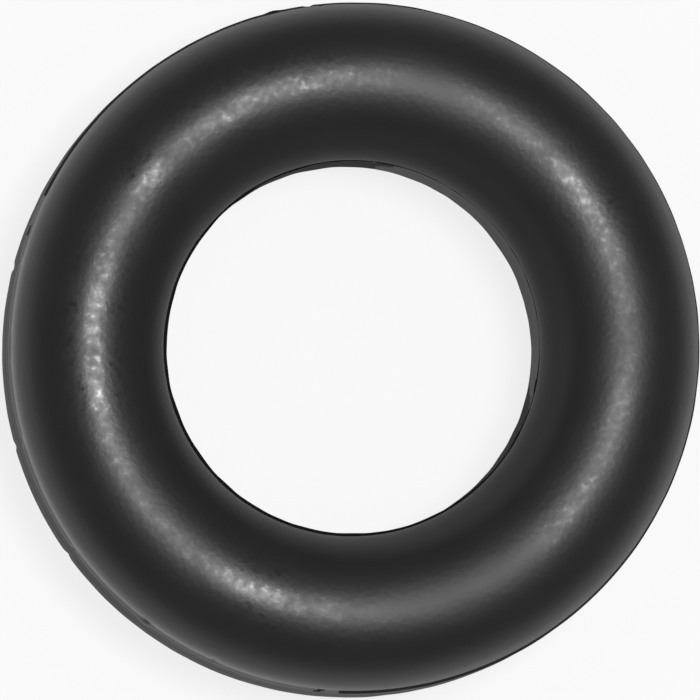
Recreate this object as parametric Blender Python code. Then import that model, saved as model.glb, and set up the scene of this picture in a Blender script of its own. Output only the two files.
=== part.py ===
"""Exhaust hanger rubber: one solid ring moulded in rubber, lying flat on its foot.

Lengths are in metres. The origin is the middle of the ring at the height of its foot,
and +Z runs up the ring's own axis.
"""
import math

import bmesh
import bpy

# Driving dimensions
RING_DIAMETER = 0.0570  # across the outside, over the straight band
BORE_DIAMETER = 0.0307  # through the hole, inside the straight band
RING_HEIGHT = 0.0160  # from the foot to the crown
BAND_HEIGHT = 0.0056  # the straight band halfway up, outside and in the hole alike
BAND_RISE = 0.0002  # how far the band stands out of the rounded shoulders next to it
CROWN_WIDTH = 0.0012  # the narrow flat along the crown, and the same along the foot

# Fineness of the curved surfaces
SHOULDER_STEPS = 9
TURN_STEPS = 96
CREASE_ANGLE = math.radians(35)

# Material
RUBBER_COLOUR = (0.014, 0.014, 0.015, 1.0)
RUBBER_ROUGHNESS = 0.4


def remove_old_objects():
    """Empties the scene."""
    for old in list(bpy.data.objects):
        bpy.data.objects.remove(old, do_unlink=True)


def quarter_section():
    """Lists a quarter of the section, band to crown, as offsets from the section's middle."""
    band = (RING_DIAMETER - BORE_DIAMETER) / 4
    band_end = BAND_HEIGHT / 2
    shoulder_height = RING_HEIGHT / 2 - band_end
    crown_edge = CROWN_WIDTH / 2
    shoulder_width = band - BAND_RISE - crown_edge
    points = [(band, band_end)]
    for step in range(SHOULDER_STEPS + 1):
        turn = math.radians(90) * step / SHOULDER_STEPS
        across = crown_edge + shoulder_width * math.cos(turn)
        up = band_end + shoulder_height * math.sin(turn)
        points.append((across, up))
    return points


def ring_section():
    """Lists the closed section as radius and height, from the outer band over the crown."""
    upper_outer = quarter_section()
    upper_inner = [(-across, up) for across, up in reversed(upper_outer)]
    upper = upper_outer + upper_inner
    lower = [(across, -up) for across, up in reversed(upper)]
    middle_radius = (RING_DIAMETER + BORE_DIAMETER) / 4
    middle_height = RING_HEIGHT / 2
    return [(middle_radius + across, middle_height + up) for across, up in upper + lower]


def make_rubber():
    """Makes the matt black rubber."""
    material = bpy.data.materials.new("black_rubber")
    material.use_nodes = True
    shader = material.node_tree.nodes["Principled BSDF"]
    shader.inputs["Base Color"].default_value = RUBBER_COLOUR
    shader.inputs["Roughness"].default_value = RUBBER_ROUGHNESS
    shader.inputs["Metallic"].default_value = 0.0
    return material


def make_rubber_ring():
    """Turns the section once around the ring's axis into a closed body."""
    shape = bmesh.new()
    corners = [shape.verts.new((radius, 0.0, height)) for radius, height in ring_section()]
    sides = [shape.edges.new((corners[i - 1], corners[i])) for i in range(len(corners))]
    bmesh.ops.spin(
        shape,
        geom=corners + sides,
        cent=(0.0, 0.0, 0.0),
        axis=(0.0, 0.0, 1.0),
        angle=math.radians(360),
        steps=TURN_STEPS,
        use_merge=True,
    )
    bmesh.ops.recalc_face_normals(shape, faces=shape.faces)
    mesh = bpy.data.meshes.new("rubber_ring")
    shape.to_mesh(mesh)
    shape.free()
    mesh.shade_smooth()
    mesh.set_sharp_from_angle(angle=CREASE_ANGLE)
    mesh.materials.append(make_rubber())
    ring = bpy.data.objects.new("rubber_ring", mesh)
    bpy.context.scene.collection.objects.link(ring)
    return ring


remove_old_objects()
make_rubber_ring()
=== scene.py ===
"""Dresses the exhaust hanger rubber: the moulded ring with its trimmed bands, and a pale stage.

The ring lies flat with its axis up +Z, and its foot is at the height of the floor. The camera
stands almost above it and leans toward the lower left of the picture. A direction in the
picture is an angle from its right side, turning downwards.
"""
import math

import bmesh
import bpy
from bpy.props import FloatProperty, FloatVectorProperty, IntProperty, PointerProperty
from mathutils import Matrix, Vector, noise


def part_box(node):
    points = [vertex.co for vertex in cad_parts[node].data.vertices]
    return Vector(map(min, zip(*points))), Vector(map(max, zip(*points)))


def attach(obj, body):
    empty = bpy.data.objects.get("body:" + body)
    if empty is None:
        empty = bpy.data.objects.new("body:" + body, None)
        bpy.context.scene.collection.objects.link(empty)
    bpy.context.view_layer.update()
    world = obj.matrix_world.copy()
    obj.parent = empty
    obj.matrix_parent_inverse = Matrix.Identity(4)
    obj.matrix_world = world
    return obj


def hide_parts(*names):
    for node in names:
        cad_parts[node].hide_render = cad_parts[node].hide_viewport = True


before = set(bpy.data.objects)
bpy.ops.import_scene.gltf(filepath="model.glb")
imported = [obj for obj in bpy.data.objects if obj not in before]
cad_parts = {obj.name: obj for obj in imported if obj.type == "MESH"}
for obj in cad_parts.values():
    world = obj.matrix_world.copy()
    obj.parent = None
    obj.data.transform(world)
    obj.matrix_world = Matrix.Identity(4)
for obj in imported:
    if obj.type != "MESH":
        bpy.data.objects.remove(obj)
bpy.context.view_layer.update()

bl_info = {
    "name": "Exhaust hanger rubber",
    "version": (1, 0, 0),
    "blender": (4, 5, 0),
    "location": "3D View > Sidebar > Hanger",
    "description": "Moulds the rubber ring of an exhaust hanger and sets its stage",
    "category": "Object",
}

MM = 0.001
NODE_LOW, NODE_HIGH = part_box("rubber_ring")
# How far a vertex or a face may lie from a height and still count as being at it.
SLACK = 0.03 * MM
# A stretch of the ring fades out at this many times its half length.
FADE = 1.5
# The ring's three materials, in their order on the mesh.
MOULDED, TRIMMED, TORN_AND_SHADED = range(3)

# Places on the ring, each as a direction in the picture, in degrees. A trimmed or rubbed stretch,
# and the stretch where the painted sheen round the hole is strongest, is its middle and half its
# length.
TRIMMED_HOLE = (326.0, 48.0)
RUBBED_OUTSIDE = (150.0, 55.0)
PAINTED_SHEEN_SIDE = (75.0, 85.0)
NUB_DIRECTIONS = (127.0, 256.0)
NICK_DIRECTIONS = (144.0, 164.0, 194.0, 262.0)
DENT_DIRECTIONS = (114.0, 264.0)
# Patches of the crown, each as a direction, half its length in degrees, and how polished
# it is. Below 0 it is duller than the rest.
CROWN_PATCHES = (
    (14.0, 5.0, 0.2),
    (38.0, 9.0, 0.2),
    (68.0, 22.0, -0.8),
    (113.0, 9.0, 1.0),
    (140.0, 12.0, -0.1),
    (180.0, 22.0, 1.0),
    (218.0, 5.0, 0.8),
    (238.0, 8.0, 0.5),
    (256.0, 12.0, 0.5),
    (286.0, 9.0, -0.5),
    (329.0, 11.0, 0.7),
)


def linear_colour(hex_code):
    """Turns an sRGB hex value into Blender's linear colour."""
    channels = [int(hex_code[i:i + 2], 16) / 255 for i in (0, 2, 4)]
    return [c / 12.92 if c <= 0.04045 else ((c + 0.055) / 1.055) ** 2.4 for c in channels]


def length(name, description, default):
    """Makes a length property in metres."""
    return FloatProperty(
        name=name, description=description, default=default, min=0.0, unit="LENGTH", precision=5
    )


def number(name, description, default, high=1.0):
    """Makes a plain number property that isn't negative."""
    return FloatProperty(name=name, description=description, default=default, min=0.0, max=high)


def turn(name, description, degrees):
    """Makes an angle property from degrees."""
    return FloatProperty(
        name=name, description=description, default=math.radians(degrees), subtype="ANGLE"
    )


def colour(name, description, hex_code):
    """Makes a colour property from an sRGB hex value."""
    return FloatVectorProperty(
        name=name,
        description=description,
        default=linear_colour(hex_code),
        subtype="COLOR",
        min=0.0,
        max=1.0,
    )


class RingSizes(bpy.types.PropertyGroup):
    """Sizes of the moulded ring."""

    outside: length("Outside", "Diameter over the outer band", NODE_HIGH.x - NODE_LOW.x)
    bore: length("Bore", "Diameter of the hole, inside its band", 30.63 * MM)
    oval: number("Oval", "How much longer the ring is than it is wide, as a share", 0.01)
    oval_direction: turn("Oval direction", "Direction in which the ring is longest", 145.0)
    height: length("Height", "From the foot to the crown", NODE_HIGH.z - NODE_LOW.z)
    band_height: length("Band height", "Height of the straight band", 5.6 * MM)
    outer_rise: length("Outer rise", "How far the outer band stands out", 0.2 * MM)
    outer_slope: length("Outer slope", "Height of the outer band's sloping edges", 0.5 * MM)
    inner_rise: length("Inner rise", "How far the band in the hole stands out", 0.17 * MM)
    inner_slope: length("Inner slope", "Height of the sloping edges in the hole", 0.12 * MM)
    lip_rise: length("Lip rise", "Height of the soft lip round the hole", 0.05 * MM)
    lip_reach: length("Lip reach", "From the hole to the lip, and its half width", 1.3 * MM)
    hole_offset: length("Hole offset", "How far the hole sits off the ring's middle", 0.13 * MM)
    offset_direction: turn("Offset direction", "Where the hole is offset to", 185.0)
    hole_shift: length("Hole shift", "How far each half's hole sits off its band", 0.16 * MM)
    shift_direction: turn("Shift direction", "Where the upper half's hole is shifted to", 144.0)
    crown_shift: length("Crown shift", "From mid width out to the crown", 0.2 * MM)
    seam_rise: length("Seam rise", "How far the seam stands out of the outer band", 0.03 * MM)
    seam_width: length("Seam width", "Height of the mould's seam", 0.3 * MM)
    shoulder_steps: IntProperty(
        name="Shoulder steps", description="Faces across one shoulder", default=30, min=8
    )
    turn_steps: IntProperty(
        name="Turn steps", description="Faces round the ring", default=600, min=96
    )


class MouldMarks(bpy.types.PropertyGroup):
    """Small marks that moulding and trimming leave."""

    roll_depth: length("Roll depth", "Depth of the shallow waves over the ring", 0.03 * MM)
    roll_length: length("Roll length", "Length of one shallow wave", 2.6 * MM)
    wear_depth: length("Wear depth", "How unevenly the outer band is trimmed", 0.03 * MM)
    hole_wear_depth: length("Hole wear depth", "How unevenly the hole is trimmed", 0.06 * MM)
    wear_length: length("Wear length", "Length of one uneven stretch", 1.6 * MM)
    even_wear: number("Even wear", "Share of the wear that isn't only at the edges", 0.3)
    ragged_ends: number("Ragged ends", "Unevenness of a stretch's ends, in degrees", 9.0, high=45.0)
    nub_size: length("Nub size", "Radius of a nub left on the outer band", 0.9 * MM)
    nub_rise: length("Nub rise", "How far a nub stands out", 0.12 * MM)
    nick_size: length("Nick size", "Half width of a nick in the outer band", 0.45 * MM)
    nick_depth: length("Nick depth", "How deep a nick is", 0.12 * MM)
    dent_size: length("Dent size", "Half height of a dent over the outer band", 1.0 * MM)
    dent_depth: length("Dent depth", "How deep a dent is", 0.12 * MM)
    dent_height: length("Dent height", "From the outer band's top up to a dent", 0.8 * MM)
    dent_inset: length("Dent inset", "From the outside in to a dent", 0.6 * MM)
    dent_narrowness: number("Dent narrowness", "Its height over its width", 3.0, high=20.0)


class RubberFinish(bpy.types.PropertyGroup):
    """Colours and roughness of the rubber."""

    body: colour("Body", "Black rubber", "121213")
    bloom: colour("Bloom", "Greyer rubber where the surface has bloomed", "1a1a1b")
    cloud: length("Cloud", "Size of the bloomed clouds", 6.0 * MM)
    cloud_roughness: number("Cloud roughness", "How much rougher a bloomed cloud is", 0.06)
    roughness: number("Roughness", "Roughness of the moulded shoulders", 0.38)
    polish: number("Polish", "How much smoother the crown's polished patches are", 0.08)
    crown_reach: length("Crown reach", "From the crown to where its patches end", 4.0 * MM)
    inner_roughness: number("Inner roughness", "Roughness of the shoulder round the hole", 0.62)
    outer_roughness: number("Outer roughness", "Roughness of the rubbed outer shoulder", 0.6)
    polished_roughness: number("Polished roughness", "Roughness of the handled outside", 0.26)
    polished_rim: length("Polished rim", "Width of the handled outer shoulder", 2.8 * MM)
    inner_rim: length("Inner rim", "Width of the rougher shoulder round the hole", 3.4 * MM)
    outer_rim: length("Outer rim", "Width of the rougher shoulder at the outside", 0.9 * MM)
    outer_ramp: number("Outer ramp", "Degrees over which that sets in", 45.0, high=180.0)
    specular: number("Specular level", "Strength of the shine, 0.5 for plain plastic", 0.5)
    trim_roughness: number("Trim roughness", "Roughness of the trimmed bands", 0.62)
    trim_cloud_roughness: number("Trim cloud roughness", "How much rougher a cloud is there", 0.1)
    trim_specular: number("Trim specular", "Strength of the trimmed bands' shine", 0.42)
    # Painted sheen: this lighter grey lies round the hole, strongest on one side, and stands in for
    # the brighter shine there. The three settings below place it.
    painted_sheen: colour("Scuff", "Greyer rubber, where hooks have scuffed it round the hole", "353535")
    sheen_place: length("Scuff place", "From the hole to the scuffed ring", 1.0 * MM)
    sheen_reach: length("Scuff reach", "Half width of the scuffed ring", 1.7 * MM)
    least_sheen: number("Least scuff", "Share of the scuffing on the less worn side", 0.3)
    # Painted shade: this blacker rubber on the torn ledges helps paint the thin dark line along the
    # edges where shade falls.
    torn: colour("Torn", "Blackest rubber, where the flash was torn off", "0f0f0f")
    torn_roughness: number("Torn roughness", "Roughness of the torn ledges", 0.85)
    torn_specular: number("Torn specular", "Strength of the torn ledges' shine", 0.18)
    torn_grain: length("Torn grain", "Size of the torn ledges' grain", 0.1125 * MM)
    grain: length("Grain", "Size of the moulded grain", 0.45 * MM)
    grain_depth: length("Grain depth", "Height of the moulded grain", 0.012 * MM)
    speck: length("Speck", "Size of the specks that mottle the shine", 0.62 * MM)
    blotch: length("Blotch", "Size of the blotches between the specks", 1.86 * MM)
    speck_level: number("Speck level", "Level of the noise above which a speck is bright", 0.58)
    speck_boost: number("Speck boost", "How much a bright speck stands out", 2.0, high=10.0)
    speck_gloss: number("Speck gloss", "How strongly the specks mottle the shine", 0.22)
    plain_mottle: number("Plain mottle", "How mottled the crown is between its patches", 0.4)
    patch_mottle: number("Patch mottle", "How much more mottled a polished patch is", 0.8)


class StageSettings(bpy.types.PropertyGroup):
    """Floor, light and camera."""

    floor: colour("Floor", "Pale floor", "fdfdfd")
    floor_size: length("Floor size", "From the ring to the floor's edge", 4.0)
    shadow_share: number("Shadow share", "How much of the shadow the camera sees", 0.18)
    sky: number("Sky", "Strength of the even light from all round", 0.26, high=4.0)
    horizon: number("Horizon", "How much brighter the light is low down", 0.3, high=4.0)
    horizon_share: number("Horizon share", "How much that leans to the camera's side", 0.9)
    horizon_fall: number("Horizon fall", "How fast it fades with height", 4.0, high=16.0)
    key_power: number("Key power", "Power of the overhead lamp in watts", 4.4, high=50.0)
    key_radius: length("Key radius", "Radius of the overhead lamp", 126.0 * MM)
    key_distance: length("Key distance", "From the ring to the overhead lamp", 900.0 * MM)
    key_lean: turn("Key lean", "From straight above to the overhead lamp", 7.0)
    key_direction: turn("Key direction", "Where the overhead lamp leans to", 342.0)
    camera_lean: turn("Camera lean", "From straight above to the camera", 8.0)
    camera_direction: turn("Camera direction", "Where the camera leans to", 144.0)
    camera_distance: length("Camera distance", "From the ring to the camera", 1600.0 * MM)
    camera_shift: number("Camera shift", "How far the picture slides left, as a share", 0.0014)
    view_width: length("View width", "Width of the picture at the ring", 57.33 * MM)


def picture_direction(angle):
    """Gives the flat direction that an angle in the picture stands for."""
    return Vector((math.cos(angle), -math.sin(angle), 0.0))


def smooth_hump(distance, reach):
    """Falls smoothly from 1 at no distance to 0 at the reach."""
    share = max(0.0, 1.0 - (distance / reach) ** 2)
    return share * share


def draw_on(shape, end, move, steps):
    """Draws edges on from a vertex in equal steps, and gives the last vertex."""
    for _ in range(steps):
        end = bmesh.ops.extrude_vert_indiv(shape, verts=[end])["verts"][0]
        bmesh.ops.translate(shape, verts=[end], vec=Vector(move) / steps)
    return end


def draw_side(shape, sizes, way, band, rise, slope, seam):
    """Draws one side of the upper section, from the crown down to the band's mid height.

    A tag marks the vertices of the side that is already drawn.
    """
    band_end = (sizes.band_height - slope) / 2
    shoulder_foot = band_end + slope
    foot = shape.verts.new((way, 0.0, 0.0))
    bmesh.ops.spin(
        shape,
        geom=[foot],
        cent=(0.0, 0.0, 0.0),
        axis=(0.0, -way, 0.0),
        angle=math.radians(90),
        steps=sizes.shoulder_steps,
        use_merge=False,
    )
    shoulder = [foot] + [v for v in shape.verts if not v.tag and v is not foot]
    width = band - rise - way * sizes.crown_shift
    bmesh.ops.scale(shape, vec=(width, 1.0, sizes.height / 2 - shoulder_foot), verts=shoulder)
    bmesh.ops.translate(shape, vec=(sizes.crown_shift, 0.0, shoulder_foot), verts=shoulder)
    edge = draw_on(shape, foot, (way * rise, 0.0, -slope), steps=2)
    seam_top = draw_on(shape, edge, (0.0, 0.0, sizes.seam_width / 2 - band_end), steps=4)
    draw_on(shape, seam_top, (way * seam, 0.0, -sizes.seam_width / 2), steps=2)
    for vertex in shape.verts:
        vertex.tag = True


def draw_section(shape, sizes):
    """Draws both sides, mirrors them below mid height and moves the section to its radius."""
    half_width = (sizes.outside - sizes.bore) / 4
    outer_band = half_width - sizes.seam_rise
    draw_side(
        shape, sizes, 1.0, outer_band, sizes.outer_rise, sizes.outer_slope, sizes.seam_rise
    )
    draw_side(shape, sizes, -1.0, half_width, sizes.inner_rise, sizes.inner_slope, 0.0)
    hair = 0.001 * MM
    bmesh.ops.remove_doubles(shape, verts=shape.verts, dist=hair)
    bmesh.ops.mirror(
        shape,
        geom=shape.verts[:] + shape.edges[:],
        matrix=Matrix.Identity(4),
        merge_dist=hair,
        axis="Z",
    )
    place = ((sizes.outside + sizes.bore) / 4, 0.0, sizes.height / 2)
    bmesh.ops.translate(shape, vec=place, verts=shape.verts)


def turn_ring(shape, sizes):
    """Turns the section once round the ring's axis."""
    bmesh.ops.spin(
        shape,
        geom=shape.verts[:] + shape.edges[:],
        cent=(0.0, 0.0, 0.0),
        axis=(0.0, 0.0, 1.0),
        angle=math.radians(360),
        steps=sizes.turn_steps,
        use_merge=True,
    )
    bmesh.ops.recalc_face_normals(shape, faces=shape.faces)


def raise_lip(shape, sizes):
    """Raises the soft lip on each shoulder round the hole."""
    shape.normal_update()
    foot = (sizes.band_height + sizes.inner_slope) / 2
    for vertex in shape.verts:
        away = vertex.co.xy.length - sizes.bore / 2 - sizes.lip_reach
        if abs(vertex.co.z - sizes.height / 2) > foot and abs(away) < sizes.lip_reach:
            vertex.co += vertex.normal * sizes.lip_rise * smooth_hump(away, sizes.lip_reach)


def shift_hole(shape, sizes):
    """Sets the hole off the middle, and its two halves opposite ways off the band between them.

    Mould cores that don't quite meet leave it so. The shift fades out toward the outside.
    """
    band_end = (sizes.band_height + sizes.inner_slope / 2) / 2
    aside = picture_direction(sizes.offset_direction) * sizes.hole_offset
    way = picture_direction(sizes.shift_direction) * sizes.hole_shift
    for vertex in shape.verts:
        outward = (vertex.co.xy.length * 2 - sizes.bore) / (sizes.outside - sizes.bore)
        height = vertex.co.z - sizes.height / 2
        move = aside
        if abs(height) > band_end:
            move = aside + way * math.copysign(1.0, height)
        vertex.co += move * max(0.0, 1.0 - outward)


def pull_oval(shape, sizes):
    """Pulls the ring slightly oval, as soft rubber settles, within its outside diameter."""
    space = Matrix.Rotation(sizes.oval_direction, 4, "Z")
    reach = (1.0 + sizes.oval / 3, 1.0 - sizes.oval * 2 / 3, 1.0)
    bmesh.ops.scale(shape, vec=reach, space=space, verts=shape.verts)


def roll_surface(shape, marks):
    """Sinks the surface in shallow waves, as a mould's hand-finished wall leaves it."""
    shape.normal_update()
    for vertex in shape.verts:
        sunk = 0.5 + 0.5 * noise.noise(vertex.co / marks.roll_length)
        vertex.co -= vertex.normal * marks.roll_depth * sunk


def band_vertices(shape, sizes, outer):
    """Lists the vertices of the outer band or of the band in the hole, edges included."""
    reach = sizes.band_height / 2 + SLACK
    band = [v for v in shape.verts if abs(v.co.z - sizes.height / 2) < reach]
    middle = (sizes.outside + sizes.bore) / 4
    return [v for v in band if (v.co.xy.length > middle) == outer]


def degrees_between(place, direction):
    """Gives how far a place on the ring is turned from a direction, in degrees."""
    heading = math.degrees(math.atan2(-place.y, place.x))
    return abs((heading - direction + 180) % 360 - 180)


def within(place, direction, spread):
    """Gives 1 in the middle of a stretch of the ring, fading to 0 a little past its ends."""
    return smooth_hump(degrees_between(place, direction), spread * FADE)


def trim_faces(shape, sizes, marks):
    """Sets where the flash was trimmed off the bands, and where it tore off. The torn ledges get
    blacker, duller rubber, which paints the thin line of shade along those edges.

    The band in the hole was trimmed on one side only. The outer band's sloping edges tore, but
    handling has rubbed them smooth on one side, where no line of shade is painted.
    """
    middle = (sizes.outside + sizes.bore) / 4
    for face in shape.faces:
        place = face.calc_center_median()
        outer = place.xy.length > middle
        slope = sizes.outer_slope if outer else sizes.inner_slope
        reach = max(abs(v.co.z - sizes.height / 2) for v in face.verts) - SLACK
        if reach > (sizes.band_height + slope) / 2:
            continue
        direction, spread = RUBBED_OUTSIDE if outer else TRIMMED_HOLE
        ragged = spread + marks.ragged_ends * noise.noise(place / marks.wear_length)
        clean = degrees_between(place, direction) < ragged
        if outer and reach > (sizes.band_height - slope) / 2:
            face.material_index = MOULDED if clean else TORN_AND_SHADED
        else:
            face.material_index = TRIMMED if clean or outer else TORN_AND_SHADED


def wear_bands(shape, sizes, marks):
    """Makes the bands uneven, most at their two edges, as trimming leaves them."""
    for outer, depth in ((True, -marks.wear_depth), (False, marks.hole_wear_depth)):
        for vertex in band_vertices(shape, sizes, outer):
            flat = Vector((vertex.co.x, vertex.co.y, 0.0))
            height = abs(vertex.co.z - sizes.height / 2) / (sizes.band_height / 2)
            wear_and_sheen = marks.even_wear + (1.0 - marks.even_wear) * height ** 4
            wear_and_sheen *= noise.noise(vertex.co / marks.wear_length)
            vertex.co += flat.normalized() * depth * wear_and_sheen


def band_top(sizes, direction):
    """Gives the way out and the upper edge of the outer band in a direction."""
    way = picture_direction(math.radians(direction))
    height = (sizes.height + sizes.band_height) / 2
    return way, way * sizes.outside / 2 + Vector((0.0, 0.0, height))


def raise_nubs(shape, sizes, marks):
    """Lifts the small nubs that the mould's vents leave on the outer band."""
    band = band_vertices(shape, sizes, outer=True)
    for direction in NUB_DIRECTIONS:
        way, top = band_top(sizes, direction)
        for vertex in band:
            vertex.co += way * marks.nub_rise * smooth_hump((vertex.co - top).length, marks.nub_size)


def cut_nicks(shape, sizes, marks):
    """Cuts the narrow nicks that trimming leaves across the outer band."""
    band = band_vertices(shape, sizes, outer=True)
    for direction in NICK_DIRECTIONS:
        way, top = band_top(sizes, direction)
        across = way.cross(Vector((0.0, 0.0, 1.0)))
        for vertex in band:
            away = vertex.co - top
            # The nick's plane also meets the far side of the ring, which stays whole.
            if away.dot(way) > -sizes.band_height:
                depth = marks.nick_depth * smooth_hump(abs(away.dot(across)), marks.nick_size)
                vertex.co -= way * depth


def press_dents(shape, sizes, marks):
    """Presses the short dents into the outer shoulder, above the band."""
    for direction in DENT_DIRECTIONS:
        way, top = band_top(sizes, direction)
        middle = top + Vector((0.0, 0.0, marks.dent_height)) - way * marks.dent_inset
        across = way.cross(Vector((0.0, 0.0, 1.0)))
        for vertex in shape.verts:
            away = vertex.co - middle
            if away.length > marks.dent_size * 2:
                continue
            aside = away.dot(across) * marks.dent_narrowness
            distance = Vector((aside, away.dot(way), away.z)).length
            vertex.co -= way * marks.dent_depth * smooth_hump(distance, marks.dent_size)


def crown_polish(place):
    """Adds up how polished the crown is at a place, from -1 for dull to 1."""
    return sum(
        polished * within(place, direction, spread)
        for direction, spread, polished in CROWN_PATCHES
    )


def shoulder_roughness(place, sizes, finish):
    """Gives the roughness at a place: matt round the hole, polished where it was handled."""
    inward = sizes.outside / 2 - place.xy.length
    crown = (sizes.outside + sizes.bore) / 4 + sizes.crown_shift
    near = smooth_hump(place.xy.length - crown, finish.crown_reach)
    value = finish.roughness - finish.polish * crown_polish(place) * near
    rubbed = smooth_hump(place.xy.length - sizes.bore / 2, finish.inner_rim)
    value += (finish.inner_roughness - value) * rubbed
    direction, spread = RUBBED_OUTSIDE
    away = degrees_between(place, direction)
    handled = smooth_hump(inward, finish.polished_rim) * smooth_hump(away, spread * 2)
    value += (finish.polished_roughness - value) * handled
    rubbed = smooth_hump(inward, finish.outer_rim)
    rubbed *= min(1.0, max(0.0, away / finish.outer_ramp - 1.0))
    return value + (finish.outer_roughness - value) * rubbed


def crown_mottle(place, sizes, finish):
    """Gives how mottled the shine is at a place: only on the crown, most where it is polished."""
    crown = (sizes.outside + sizes.bore) / 4 + sizes.crown_shift
    near = smooth_hump(place.xy.length - crown, finish.crown_reach)
    mottled = finish.plain_mottle + finish.patch_mottle * crown_polish(place)
    return min(1.0, max(0.0, mottled)) * near


def painted_sheen_share(place, sizes, finish):
    """Gives how much painted sheen the ring has at a place: only round the hole, most on one side.
    """
    away = place.xy.length - sizes.bore / 2 - finish.sheen_place
    side = finish.least_sheen + (1.0 - finish.least_sheen) * within(place, *PAINTED_SHEEN_SIDE)
    return smooth_hump(away, finish.sheen_reach) * side


def rub_surface(mesh, sizes, finish):
    """Stores each vertex's roughness, how mottled its shine is, and how much painted sheen it has.
    """
    rubbings = {
        "roughness": shoulder_roughness,
        "mottle": crown_mottle,
        "painted_sheen": painted_sheen_share,
    }
    for name, rub in rubbings.items():
        values = [rub(vertex.co, sizes, finish) for vertex in mesh.vertices]
        mesh.attributes.new(name, "FLOAT", "POINT").data.foreach_set("value", values)


def feed(tree, socket, value):
    """Links a socket to another node's output, or sets it to a plain value."""
    if isinstance(value, bpy.types.NodeSocket):
        tree.links.new(value, socket)
    else:
        socket.default_value = value


def add_node(tree, kind, inputs=None, **settings):
    """Adds a node, sets it and feeds its sockets."""
    node = tree.nodes.new(kind)
    for key, value in settings.items():
        setattr(node, key, value)
    for socket, value in (inputs or {}).items():
        feed(tree, node.inputs[socket], value)
    return node


def calculate(tree, operation, *terms):
    """Adds a maths node on numbers and other nodes' outputs, and gives its output."""
    node = add_node(tree, "ShaderNodeMath", dict(enumerate(terms)), operation=operation)
    return node.outputs[0]


def mix_colours(tree, factor, first, second):
    """Mixes two colours, each plain or a node's output, and gives the output."""
    node = add_node(tree, "ShaderNodeMix", {"Factor": factor}, data_type="RGBA")
    sockets = [socket for socket in node.inputs if socket.type == "RGBA"]
    feed(tree, sockets[0], first)
    feed(tree, sockets[1], second)
    return next(socket for socket in node.outputs if socket.type == "RGBA")


def stored(tree, name):
    """Gives the output that reads one of the ring's own attributes."""
    node = add_node(tree, "ShaderNodeAttribute", attribute_type="GEOMETRY", attribute_name=name)
    return node.outputs["Fac"]


def noise_pattern(tree, place, size, **details):
    """Adds a noise whose blobs have a size, and gives its output."""
    inputs = {"Vector": place, "Scale": 1.0 / size, **details}
    return add_node(tree, "ShaderNodeTexNoise", inputs).outputs["Fac"]


def object_place(tree):
    """Gives the output that reads a place on the object, which the patterns lie on."""
    return add_node(tree, "ShaderNodeTexCoord").outputs["Object"]


def new_material(name):
    """Makes a node material, and gives it, its tree and its Principled shader."""
    material = bpy.data.materials.new(name)
    material.use_nodes = True
    return material, material.node_tree, material.node_tree.nodes["Principled BSDF"]


def fill_shader(tree, shader, tint, roughness, specular):
    """Feeds the shader its colour, its roughness and the strength of its shine."""
    feed(tree, shader.inputs["Base Color"], tint)
    feed(tree, shader.inputs["Roughness"], roughness)
    feed(tree, shader.inputs["Specular IOR Level"], specular)


def cloudy_black(tree, place, finish):
    """Gives cloudy black and bloomed rubber, and the cloud itself."""
    cloud = noise_pattern(tree, place, finish.cloud, Detail=3.0)
    return mix_colours(tree, cloud, (*finish.body, 1.0), (*finish.bloom, 1.0)), cloud


def raise_grain(tree, shader, place, grain, depth):
    """Gives the shader a fine mottled relief."""
    mottle = noise_pattern(tree, place, grain, Detail=1.0, Roughness=0.4, Distortion=0.2)
    inputs = {"Height": mottle, "Strength": 1.0, "Distance": depth}
    relief = add_node(tree, "ShaderNodeBump", inputs)
    feed(tree, shader.inputs["Normal"], relief.outputs["Normal"])


def moulded_rubber(finish):
    """Carbon-black rubber, pressed in a blasted steel mould: near-black, satin and mottled.

    Handling has polished patches of the crown, where specks and blotches break up the shine.
    Round the hole the hooks have rubbed the shoulder matt, and a lighter grey is painted there as
    sheen, most on one side.
    """
    material, tree, shader = new_material("moulded_black_rubber")
    place = object_place(tree)
    black, cloud = cloudy_black(tree, place, finish)
    # Painted sheen: a lighter grey mixed into the black round the hole.
    wear_and_sheen = mix_colours(tree, stored(tree, "painted_sheen"), black, (*finish.painted_sheen, 1.0))
    fine = noise_pattern(tree, place, finish.speck, Detail=1.0, Roughness=0.5)
    coarse = noise_pattern(tree, place, finish.blotch, Detail=1.0, Roughness=0.5)
    above_level = calculate(tree, "SUBTRACT", fine, finish.speck_level)
    bright = calculate(tree, "MAXIMUM", above_level, 0.0)
    blotch = calculate(tree, "SUBTRACT", calculate(tree, "ADD", fine, coarse), 1.0)
    gloss = calculate(tree, "MULTIPLY_ADD", bright, finish.speck_boost, blotch)
    shown = calculate(tree, "MULTIPLY", gloss, stored(tree, "mottle"))
    own_roughness = stored(tree, "roughness")
    clouded = calculate(tree, "MULTIPLY_ADD", cloud, finish.cloud_roughness, own_roughness)
    rough = calculate(tree, "MULTIPLY_ADD", shown, -finish.speck_gloss, clouded)
    fill_shader(tree, shader, wear_and_sheen, rough, finish.specular)
    raise_grain(tree, shader, place, finish.grain, finish.grain_depth)
    return material


def trimmed_rubber(finish):
    """The same rubber where the flash was trimmed off: matt, slightly torn and hardly shiny."""
    material, tree, shader = new_material("trimmed_black_rubber")
    place = object_place(tree)
    black, cloud = cloudy_black(tree, place, finish)
    rough = calculate(
        tree, "MULTIPLY_ADD", cloud, finish.trim_cloud_roughness, finish.trim_roughness
    )
    fill_shader(tree, shader, black, rough, finish.trim_specular)
    raise_grain(tree, shader, place, finish.grain, finish.grain_depth)
    return material


def torn_and_shaded_rubber(finish):
    """The narrow ledges where the flash tore away: blacker and rough enough to look like a black
    line, a painted line of shade.
    """
    material, tree, shader = new_material("torn_and_shaded_black_rubber")
    fill_shader(tree, shader, (*finish.torn, 1.0), finish.torn_roughness, finish.torn_specular)
    raise_grain(tree, shader, object_place(tree), finish.torn_grain, finish.grain_depth)
    return material


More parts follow.
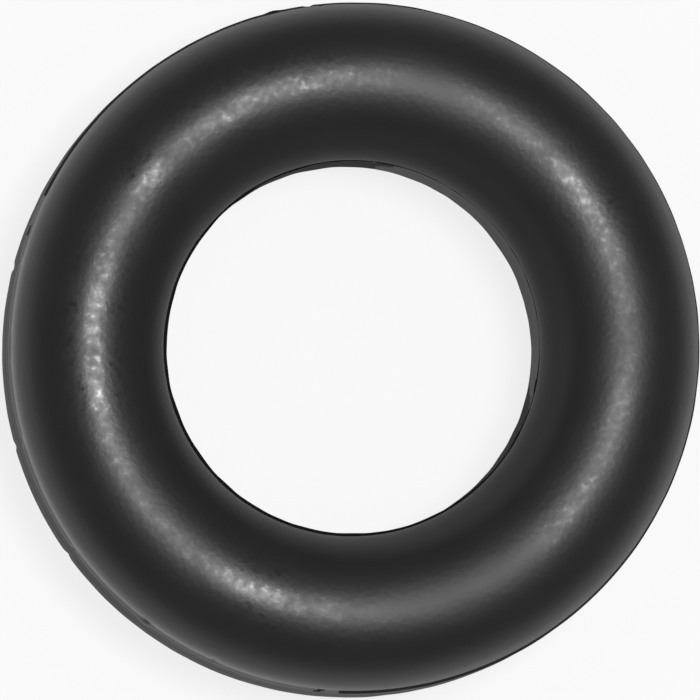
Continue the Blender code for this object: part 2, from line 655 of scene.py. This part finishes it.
def pale_floor(stage):
    """Matt white card. The camera and reflections see it near white, with a light shadow."""
    material, tree, card = new_material("matt_white_card")
    fill_shader(tree, card, (*stage.floor, 1.0), 0.9, 0.0)
    rays = add_node(tree, "ShaderNodeLightPath").outputs
    seen = calculate(tree, "MAXIMUM", rays["Is Camera Ray"], rays["Is Glossy Ray"])
    shown = calculate(tree, "MAXIMUM", seen, rays["Is Transmission Ray"])
    share = calculate(tree, "MULTIPLY", shown, 1.0 - stage.shadow_share)
    glow = {"Color": (1.0, 1.0, 1.0, 1.0), "Strength": 1.0}
    white = add_node(tree, "ShaderNodeEmission", glow).outputs[0]
    mixed = add_node(tree, "ShaderNodeMixShader", {0: share, 1: card.outputs[0], 2: white})
    tree.links.new(mixed.outputs[0], tree.nodes["Material Output"].inputs["Surface"])
    return material


def link_object(name, data):
    """Makes an object of some data in the scene."""
    made = bpy.data.objects.new(name, data)
    bpy.context.scene.collection.objects.link(made)
    return made


def above(centre, lean, direction, distance):
    """Gives the place that leans from straight above a point toward a direction."""
    side = picture_direction(direction) * math.sin(lean)
    return centre + (side + Vector((0.0, 0.0, math.cos(lean)))) * distance


def add_lamp(name, centre, lean, direction, distance, radius, power):
    """Hangs a round soft lamp that points at the ring."""
    data = bpy.data.lights.new(name, "AREA")
    data.shape = "DISK"
    data.size = 2 * radius
    data.energy = power
    lamp = link_object(name, data)
    lamp.location = above(centre, lean, direction, distance)
    lamp.rotation_euler = (centre - lamp.location).to_track_quat("-Z", "Y").to_euler()
    lamp.visible_camera = False


def add_camera(stage, centre):
    """Sets the camera so that the picture's up side is the ring's +Y."""
    data = bpy.data.cameras.new("picture_camera")
    camera = link_object("picture_camera", data)
    camera.location = above(
        centre, stage.camera_lean, stage.camera_direction, stage.camera_distance
    )
    sight = (centre - camera.location).normalized()
    right = sight.cross(Vector((0.0, 1.0, 0.0))).normalized()
    up = right.cross(sight)
    camera.rotation_euler = Matrix((right, up, -sight)).transposed().to_euler()
    data.lens = data.sensor_width * stage.camera_distance / stage.view_width
    data.shift_x = -stage.camera_shift
    data.clip_start = 0.1
    data.clip_end = 20.0
    bpy.context.scene.camera = camera


def add_sky(stage):
    """Lights the scene evenly from all round, and a little more low down on the camera's side."""
    world = bpy.data.worlds.new("soft_sky")
    world.use_nodes = True
    tree = world.node_tree
    background = tree.nodes["Background"]
    background.inputs["Color"].default_value = (1.0, 1.0, 1.0, 1.0)
    way = object_place(tree)
    height = add_node(tree, "ShaderNodeSeparateXYZ", {0: way}).outputs["Z"]
    near_side = {0: way, 1: picture_direction(stage.camera_direction)}
    side = add_node(
        tree, "ShaderNodeVectorMath", near_side, operation="DOT_PRODUCT"
    ).outputs["Value"]
    low = calculate(tree, "SUBTRACT", 1.0, calculate(tree, "ABSOLUTE", height))
    band = calculate(tree, "POWER", low, stage.horizon_fall)
    lean = calculate(tree, "MULTIPLY_ADD", side, stage.horizon_share, 1.0)
    glow = calculate(tree, "MULTIPLY", calculate(tree, "MULTIPLY", band, lean), stage.horizon)
    tree.links.new(calculate(tree, "ADD", glow, stage.sky), background.inputs["Strength"])
    bpy.context.scene.world = world


def add_floor(stage):
    """Lays the floor that the ring's foot rests on."""
    shape = bmesh.new()
    bmesh.ops.create_grid(shape, x_segments=1, y_segments=1, size=stage.floor_size)
    mesh = bpy.data.meshes.new("floor")
    shape.to_mesh(mesh)
    shape.free()
    mesh.materials.append(pale_floor(stage))
    floor = link_object("floor", mesh)


class HANGER_OT_mould_ring(bpy.types.Operator):
    """Moulds the rubber ring with its trimmed bands and small marks"""

    bl_idname = "hanger.mould_ring"
    bl_label = "Mould ring"

    def execute(self, context):
        sizes = context.scene.ring_sizes
        marks = context.scene.mould_marks
        shape = bmesh.new()
        draw_section(shape, sizes)
        turn_ring(shape, sizes)
        trim_faces(shape, sizes, marks)
        raise_lip(shape, sizes)
        shift_hole(shape, sizes)
        roll_surface(shape, marks)
        wear_bands(shape, sizes, marks)
        raise_nubs(shape, sizes, marks)
        cut_nicks(shape, sizes, marks)
        press_dents(shape, sizes, marks)
        pull_oval(shape, sizes)
        mesh = bpy.data.meshes.new("moulded_ring")
        shape.to_mesh(mesh)
        shape.free()
        rub_surface(mesh, sizes, context.scene.rubber_finish)
        mesh.shade_smooth()
        mesh.set_sharp_from_angle(angle=math.radians(30))
        for rubber in (moulded_rubber, trimmed_rubber, torn_and_shaded_rubber):
            mesh.materials.append(rubber(context.scene.rubber_finish))
        ring = link_object("moulded_ring", mesh)
        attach(ring, "root")
        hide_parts("rubber_ring")
        return {"FINISHED"}


class HANGER_OT_set_stage(bpy.types.Operator):
    """Sets the floor, the soft light and the camera"""

    bl_idname = "hanger.set_stage"
    bl_label = "Set stage"

    def execute(self, context):
        stage = context.scene.hanger_stage
        centre = Vector((0.0, 0.0, (NODE_LOW.z + NODE_HIGH.z) / 2))
        add_floor(stage)
        add_sky(stage)
        add_lamp(
            "key_lamp",
            centre,
            stage.key_lean,
            stage.key_direction,
            stage.key_distance,
            stage.key_radius,
            stage.key_power,
        )
        add_camera(stage, centre)
        context.scene.view_settings.view_transform = "Standard"
        return {"FINISHED"}


class HANGER_PT_sidebar(bpy.types.Panel):
    """Lists the hanger's settings and the buttons that mould the ring and set the stage"""

    bl_idname = "HANGER_PT_sidebar"
    bl_label = "Exhaust hanger rubber"
    bl_space_type = "VIEW_3D"
    bl_region_type = "UI"
    bl_category = "Hanger"

    def draw(self, context):
        scene = context.scene
        groups = (scene.ring_sizes, scene.mould_marks, scene.rubber_finish, scene.hanger_stage)
        for group in groups:
            box = self.layout.box()
            for name in group.__annotations__:
                box.prop(group, name)
        self.layout.operator(HANGER_OT_mould_ring.bl_idname)
        self.layout.operator(HANGER_OT_set_stage.bl_idname)


CLASSES = (
    RingSizes,
    MouldMarks,
    RubberFinish,
    StageSettings,
    HANGER_OT_mould_ring,
    HANGER_OT_set_stage,
    HANGER_PT_sidebar,
)
SETTINGS = {
    "ring_sizes": RingSizes,
    "mould_marks": MouldMarks,
    "rubber_finish": RubberFinish,
    "hanger_stage": StageSettings,
}


def register():
    """Registers the classes and the settings."""
    for kind in CLASSES:
        bpy.utils.register_class(kind)
    for name, kind in SETTINGS.items():
        setattr(bpy.types.Scene, name, PointerProperty(type=kind))


def unregister():
    """Removes the settings and the classes."""
    for name in SETTINGS:
        delattr(bpy.types.Scene, name)
    for kind in reversed(CLASSES):
        bpy.utils.unregister_class(kind)


def clear_startup_objects():
    """Removes the objects that a new Blender scene starts with."""
    for name in ("Cube", "Light", "Camera"):
        if name in bpy.data.objects:
            bpy.data.objects.remove(bpy.data.objects[name], do_unlink=True)


def main():
    """Builds the dressed ring and its stage."""
    register()
    clear_startup_objects()
    bpy.ops.hanger.mould_ring()
    bpy.ops.hanger.set_stage()


if __name__ == "__main__":
    main()
